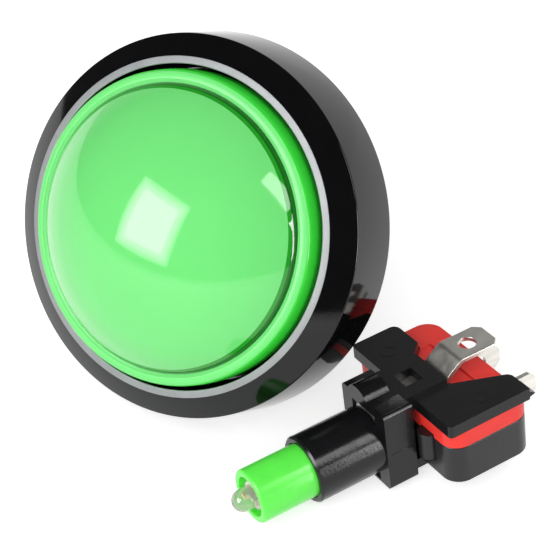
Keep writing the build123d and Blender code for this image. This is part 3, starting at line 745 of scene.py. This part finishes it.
class PUSHBUTTON_OT_plunger(bpy.types.Operator):
    """White plunger with its return spring"""

    bl_idname = "push_button.plunger"
    bl_label = "Plunger and spring"

    def execute(self, context):
        settings = context.scene.push_button_head
        white = moulding(
            "natural_white_moulding", settings.plunger_colour, rough=0.4, grain=1500, depth=0.00003)
        dress("plunger", white)
        # Spring copied from its CAD node, with a mesh of its own
        wire = plated("spring_wire", settings.spring_colour, EVEN)
        coil = frame["nodes"]["return_spring"].data.copy()
        coil.materials.clear()
        spring = new_piece("return_spring_coil", coil, wire, "base", "spring_steel", "return_spring")
        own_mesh(spring)
        return {"FINISHED"}


class PUSHBUTTON_OT_nut(bpy.types.Operator):
    """Panel nut with eased edges"""

    bl_idname = "push_button.nut"
    bl_label = "Panel nut"

    def execute(self, context):
        colour = scaled(context.scene.push_button_unit.holder_colour, NUT_TINT)
        satin = moulding("black_satin_nut", colour, rough=0.34, grain=1300, depth=0.00004)
        eased_copy("panel_nut", "panel_nut_moulding", satin, "nut", "black_satin", NUT_EDGE)
        return {"FINISHED"}


# Pieces of the switch and lamp unit

def wing_cutter():
    """What lies outside the wings' ends: a slope on the long one, a round corner on the short one."""
    bm = bmesh.new()
    long_end = rounded_path([
        (-LONG_WING_END, CUT_REACH), (-LONG_WING_END, WING_SIDE),
        (-LONG_WING_END, LONG_WING_TIP, WING_CORNER), (-LONG_WING_FOOT, LONG_WING_ROOT),
        (-LONG_WING_FOOT, PLATE_SIDE), (-CUT_REACH, PLATE_SIDE), (-CUT_REACH, CUT_REACH)])
    prism(bm, UNIT, long_end, WING_UNDER - CUT_BELOW, WING_TOP + CUT_ABOVE)
    step, side = -SHORT_WING_END + WING_CORNER, -WING_SIDE - CUT_PAST
    short_end = rounded_path([
        (step, -CUT_REACH), (step, side), (-SHORT_WING_END, side, WING_CORNER * CORNER_SHARE),
        (-SHORT_WING_END, -SHORT_WING_ROOT), (-CUT_REACH, -SHORT_WING_ROOT), (-CUT_REACH, -CUT_REACH)])
    prism(bm, UNIT, short_end, WING_UNDER + SHORT_WING_SKIN, WING_TOP + CUT_ABOVE)
    return finish_mesh(bm, "wing_cutter")


class PUSHBUTTON_OT_holder(bpy.types.Operator):
    """Lamp holder: tube, block and wings"""

    bl_idname = "push_button.holder"
    bl_label = "Lamp holder"

    def execute(self, context):
        settings = context.scene.push_button_unit
        black = moulding(
            "black_holder_moulding", settings.holder_colour,
            rough=0.18, grain=2200, depth=0.00003, shine=0.3)
        eased_copy("lamp_holder", "holder_moulding", black, "base", "black_gloss", settings.edge_round,
                   cutter=wing_cutter())
        self.beak(black)
        self.patch(settings.holder_colour)
        self.marks(black)
        return {"FINISHED"}

    def beak(self, material):
        """Small beak at the long wing's end."""
        bm = bmesh.new()
        tip = [(-LONG_WING_END + BEAK_SUNK, WING_TOP - BEAK_DROP),
               (-LONG_WING_END - BEAK_REACH, WING_UNDER + BEAK_TIP_H),
               (-LONG_WING_END + BEAK_SUNK, WING_UNDER + BEAK_FOOT_H)]
        prism(bm, PROFILE, tip, WING_SIDE - BEAK_WIDE, WING_SIDE - BEAK_INSET)
        new_piece("holder_beak", finish_mesh(bm, "holder_beak"), material, "base", "black_gloss")

    def patch(self, colour):
        """Grained patch on the block's top."""
        bm = bmesh.new()
        low = (BLOCK_BACK + PATCH_INSET, PATCH_INNER_W, BLOCK_TOP - MARK_SINK)
        high = (BLOCK_FRONT - PATCH_INSET, BLOCK_HALF_W - PATCH_OUTER_INSET, BLOCK_TOP + PATCH_PROUD)
        block(bm, UNIT, low, high, PATCH_EDGE)
        grainy = moulding("black_grained_patch", colour, rough=0.25, grain=3200, depth=0.0003)
        new_piece("holder_patch", finish_mesh(bm, "holder_patch"), grainy, "base", "black_gloss")

    def marks(self, material):
        """Parting lines on the block's sides and ejector marks on the wings."""
        bm = bmesh.new()
        for side in (-1, 1):
            low, high = sorted((side * (BLOCK_HALF_W - MARK_SINK), side * (BLOCK_HALF_W + MARK_PROUD)))
            block(bm, UNIT, (BLOCK_BACK + PARTING_INSET, low, -PARTING_HALF),
                  (BLOCK_FRONT - PARTING_INSET, high, PARTING_HALF), PARTING_EDGE)
        ring = [(EJECTOR_IN_R, -MARK_SINK), (EJECTOR_R, -MARK_SINK),
                (EJECTOR_R, MARK_PROUD), (EJECTOR_IN_R, MARK_PROUD)]
        for along, across in EJECTOR_MARKS:
            lathe(bm, ring, UNIT @ Matrix.Translation((along, across, WING_TOP)), segments=48)
        new_piece("holder_marks", finish_mesh(bm, "holder_marks"), material, "base", "black_gloss")


class PUSHBUTTON_OT_lamp(bpy.types.Operator):
    """Green capsule, clear lamp with its chip, and the wedge base"""

    bl_idname = "push_button.lamp"
    bl_label = "Lamp"

    def execute(self, context):
        settings = context.scene.push_button_unit
        green = moulding(
            "green_capsule", settings.lamp_colour, rough=0.22, grain=900, depth=0.00002, mottle=0.04)
        self.capsule(green)
        dress("lamp_base", green)
        self.nose(settings.nose_colour)
        self.cup(settings.cup_colour)
        self.posts(settings.metal_colour)
        self.chip(settings.chip_colour)
        return {"FINISHED"}

    def capsule(self, material):
        """Capsule with the recess that the nose sits in."""
        bm = bmesh.new()
        path = rounded_path([
            (0, CAPSULE_START), (CAPSULE_R, CAPSULE_START, EDGE_ROUND),
            (CAPSULE_R, CAPSULE_END, CAPSULE_ROUND), (RECESS_R, CAPSULE_END, RECESS_ROUND),
            (RECESS_R, LED_SEAT, EDGE_ROUND), (0, LED_SEAT)])
        lathe(bm, path, LAMP, segments=96, closed=False)
        mesh = finish_mesh(bm, "lamp_capsule_moulding")
        new_piece("lamp_capsule_moulding", mesh, material, "base", "lamp_green", "lamp_capsule")

    def nose(self, colour):
        """Clear nose with a round tip and a rim at its foot."""
        clear = clear_lens("clear_lamp", colour, clearness=0.8)
        bm = bmesh.new()
        angles = [pi / 2 * step / NOSE_STEPS for step in range(NOSE_STEPS)]
        tip = [(LED_R * cos(angle), LED_TIP - LED_R + LED_R * sin(angle)) for angle in angles]
        foot = [(0, LED_SEAT), (LED_RIM_R, LED_SEAT), (LED_RIM_R, LED_RIM_END), (LED_R, LED_RIM_END)]
        path = [*foot, *tip, (0, LED_TIP)]
        lathe(bm, path, LAMP, segments=64, closed=False)
        mesh = finish_mesh(bm, "lamp_nose", sharp=40)
        new_piece("lamp_nose", mesh, clear, "base", "lamp_clear", "lamp_led")

    def cup(self, colour):
        """Pale cup inside the nose's rim."""
        bm = bmesh.new()
        outside = [(0, LAMP_CUP_LOW), (LAMP_CUP_RIM_R, LAMP_CUP_LOW), (LAMP_CUP_RIM_R, LAMP_CUP_HIGH)]
        inside = [(LAMP_CUP_MOUTH_R, LAMP_CUP_HIGH), (LAMP_CUP_BASE_R, LAMP_CUP_INSIDE),
                  (0, LAMP_CUP_INSIDE)]
        lathe(bm, outside + inside, LAMP, segments=48, closed=False)
        pale = moulding("pale_lamp_cup", colour, rough=0.35, grain=900, depth=0.00002, mottle=0.05)
        new_piece("lamp_cup", finish_mesh(bm, "lamp_cup"), pale, "base", "lamp_clear")

    def posts(self, colour):
        """Two metal posts in the cup."""
        bm = bmesh.new()
        for low, high in (FIRST_POST, SECOND_POST):
            block(bm, LAMP, low, high, POST_EDGE)
        metal = plated("lamp_posts", colour, EVEN)
        new_piece("lamp_posts", finish_mesh(bm, "lamp_posts"), metal, "base", "terminal_metal")

    def chip(self, colour):
        """Chip on the first post."""
        bm = bmesh.new()
        block(bm, LAMP, *CHIP, CHIP_EDGE)
        yellow = moulding("lamp_chip", colour, rough=0.4, grain=900, depth=0.00002)
        new_piece("lamp_chip", finish_mesh(bm, "lamp_chip"), yellow, "base", "contact_brass")


class PUSHBUTTON_OT_switch(bpy.types.Operator):
    """Switch case, button and contact blade"""

    bl_idname = "push_button.switch"
    bl_label = "Switch"

    def execute(self, context):
        settings = context.scene.push_button_unit
        black = moulding(
            "black_switch_base", scaled(settings.holder_colour, SWITCH_TINT),
            rough=0.32, grain=1500, depth=0.00004, shine=0.4)
        red = moulding(
            "red_switch_cover", settings.cover_colour,
            rough=0.36, grain=1400, depth=0.00005, shine=0.3, mottle=0.06)
        edge = settings.edge_round
        eased_copy("switch_base", "switch_base_moulding", black, "base", "black_satin", edge)
        eased_copy("switch_cover", "switch_cover_moulding", red, "base", "switch_red", edge)
        eased_copy("switch_button", "switch_button_moulding", black, "button", "black_satin", BUTTON_EDGE)
        dress("contact_blade", plated("brass_blade", settings.brass_colour, EVEN))
        return {"FINISHED"}


class PUSHBUTTON_OT_terminals(bpy.types.Operator):
    """Flat terminals of the lamp and the switch"""

    bl_idname = "push_button.terminals"
    bl_label = "Terminals"

    def execute(self, context):
        metal = plated("plated_strip", context.scene.push_button_unit.metal_colour, ALONG_STRIP)
        tabs = ("lamp_terminal_upper", "lamp_terminal_lower")
        blades = ("com_terminal", "no_terminal", "nc_terminal")
        for node in tabs + blades:
            eased_copy(node, node + "_strip", metal, "base", "terminal_metal", STRIP_EDGE)
        return {"FINISHED"}


# Stage

def softbox(name, aim, azimuth, elevation, distance, size, radiance):
    """Rectangular lamp that faces a point, and that the camera doesn't see."""
    light = bpy.data.lights.new(name, "AREA")
    light.shape = "RECTANGLE"
    light.size, light.size_y = size
    light.energy = radiance * size[0] * size[1] * pi
    lamp = bpy.data.objects.new(name, light)
    bpy.context.scene.collection.objects.link(lamp)
    azimuth, elevation = radians(azimuth), radians(elevation)
    away = Vector((sin(azimuth) * cos(elevation), -cos(azimuth) * cos(elevation), sin(elevation)))
    lamp.location = aim + away * distance
    lamp.rotation_euler = away.to_track_quat("Z", "Y").to_euler()
    lamp.visible_camera = False
    return lamp


class PUSHBUTTON_OT_stage(bpy.types.Operator):
    """Floor, softboxes, white room and camera"""

    bl_idname = "push_button.stage"
    bl_label = "Stage"

    def execute(self, context):
        settings = context.scene.push_button_stage
        scene = context.scene
        self.floor(scene, settings.floor_colour)
        self.room(scene, settings.room_light)
        self.lamps(settings.key_light)
        self.camera(scene, settings.view_angle)
        scene.view_settings.view_transform = "Standard"
        return {"FINISHED"}

    def floor(self, scene, colour):
        """Sheet of white paper."""
        bm = bmesh.new()
        bmesh.ops.create_grid(bm, x_segments=2, y_segments=2, size=FLOOR_HALF)
        mesh = bpy.data.meshes.new("paper_floor")
        bm.to_mesh(mesh)
        bm.free()
        floor = bpy.data.objects.new("paper_floor", mesh)
        scene.collection.objects.link(floor)
        mesh.materials.append(self.paper(colour))

    def paper(self, colour):
        """White to the camera, in mirrors and through glass, and it keeps the shadow."""
        material = bpy.data.materials.new("white_paper")
        material.use_nodes = True
        tree = material.node_tree
        tree.nodes.clear()
        output = tree.nodes.new("ShaderNodeOutputMaterial")
        both = tree.nodes.new("ShaderNodeAddShader")
        matt = tree.nodes.new("ShaderNodeBsdfDiffuse")
        matt.inputs["Color"].default_value = (*colour, 1)
        glow = tree.nodes.new("ShaderNodeEmission")
        level = tree.nodes.new("ShaderNodeMath")
        level.operation = "MULTIPLY"
        level.inputs[1].default_value = FLOOR_GLOW
        path = tree.nodes.new("ShaderNodeLightPath")
        seen = larger(tree, path.outputs["Is Camera Ray"], path.outputs["Is Glossy Ray"])
        tree.links.new(larger(tree, seen, path.outputs["Is Transmission Ray"]), level.inputs[0])
        tree.links.new(level.outputs[0], glow.inputs["Strength"])
        tree.links.new(matt.outputs[0], both.inputs[0])
        tree.links.new(glow.outputs[0], both.inputs[1])
        tree.links.new(both.outputs[0], output.inputs["Surface"])
        return material

    def room(self, scene, strength):
        """White to the camera; in mirrors and glass it is dim overhead and on the camera's side."""
        world = bpy.data.worlds.new("white_room")
        scene.world = world
        world.use_nodes = True
        tree = world.node_tree
        glow = tree.nodes["Background"]
        glow.inputs["Color"].default_value = (1, 1, 1, 1)
        path = tree.nodes.new("ShaderNodeLightPath")
        place = tree.nodes.new("ShaderNodeTexCoord")
        facing = tree.nodes.new("ShaderNodeVectorMath")
        facing.operation = "DOT_PRODUCT"
        facing.inputs[1].default_value = BRIGHT_WAY
        tree.links.new(place.outputs["Generated"], facing.inputs[0])
        shade = between(tree, facing.outputs["Value"], BRIGHT_START, BRIGHT_FULL)
        shade.inputs["To Min"].default_value = ROOM_DIM
        shade.inputs["To Max"].default_value = ROOM_BRIGHT
        mirrored = larger(tree, path.outputs["Is Glossy Ray"], path.outputs["Is Transmission Ray"])
        lit = between(tree, mirrored)
        lit.inputs["To Min"].default_value = strength
        tree.links.new(shade.outputs["Result"], lit.inputs["To Max"])
        seen = between(tree, path.outputs["Is Camera Ray"])
        tree.links.new(lit.outputs["Result"], seen.inputs["To Min"])
        seen.inputs["To Max"].default_value = BACKDROP
        tree.links.new(seen.outputs["Result"], glow.inputs["Strength"])

    def lamps(self, radiance):
        """Key softbox that lights the object, and cards that only its mirrors show."""
        aim = head_zero + head_dir * AIM_OUT
        key = softbox("front_softbox", aim, KEY_AZIMUTH, KEY_ELEVATION, KEY_DISTANCE, KEY_SIZE, radiance)
        key.visible_glossy = False
        for name, *place in CARDS:
            card = softbox(name, aim, *place)
            card.visible_diffuse = False
            card.visible_transmission = False

    def camera(self, scene, angle):
        """Camera at the photo's point of view."""
        data = bpy.data.cameras.new("photo_camera")
        data.sensor_fit = "HORIZONTAL"
        data.angle = angle
        data.clip_start = CAMERA_NEAR
        camera = bpy.data.objects.new("photo_camera", data)
        scene.collection.objects.link(camera)
        touch = Vector((head_zero.x, head_zero.y - TOUCH_AHEAD, 0))
        camera.location = touch + CAMERA_FROM_TOUCH
        camera.rotation_euler = CAMERA_FORWARD.to_track_quat("-Z", "Y").to_euler()
        scene.camera = camera


class PUSHBUTTON_PT_sidebar(bpy.types.Panel):
    """Lists the settings and the steps"""

    bl_label = "Push button"
    bl_idname = "PUSHBUTTON_PT_sidebar"
    bl_space_type = "VIEW_3D"
    bl_region_type = "UI"
    bl_category = "Push button"

    def draw(self, context):
        scene = context.scene
        for group in (scene.push_button_head, scene.push_button_unit, scene.push_button_stage):
            box = self.layout.box()
            for name in group.__annotations__:
                box.prop(group, name)
        for step in STEPS:
            self.layout.operator(step.bl_idname)


STEPS = (
    PUSHBUTTON_OT_housing,
    PUSHBUTTON_OT_dome,
    PUSHBUTTON_OT_plunger,
    PUSHBUTTON_OT_nut,
    PUSHBUTTON_OT_holder,
    PUSHBUTTON_OT_lamp,
    PUSHBUTTON_OT_switch,
    PUSHBUTTON_OT_terminals,
    PUSHBUTTON_OT_stage,
)
CLASSES = (HeadSettings, UnitSettings, StageSettings, *STEPS, PUSHBUTTON_PT_sidebar)


def register():
    for cls in CLASSES:
        bpy.utils.register_class(cls)
    bpy.types.Scene.push_button_head = PointerProperty(type=HeadSettings)
    bpy.types.Scene.push_button_unit = PointerProperty(type=UnitSettings)
    bpy.types.Scene.push_button_stage = PointerProperty(type=StageSettings)


def unregister():
    del bpy.types.Scene.push_button_stage
    del bpy.types.Scene.push_button_unit
    del bpy.types.Scene.push_button_head
    for cls in reversed(CLASSES):
        bpy.utils.unregister_class(cls)


def main():
    register()
    bpy.ops.push_button.housing()
    bpy.ops.push_button.dome()
    bpy.ops.push_button.plunger()
    bpy.ops.push_button.nut()
    bpy.ops.push_button.holder()
    bpy.ops.push_button.lamp()
    bpy.ops.push_button.switch()
    bpy.ops.push_button.terminals()
    bpy.ops.push_button.stage()


if __name__ == "__main__":
    main()
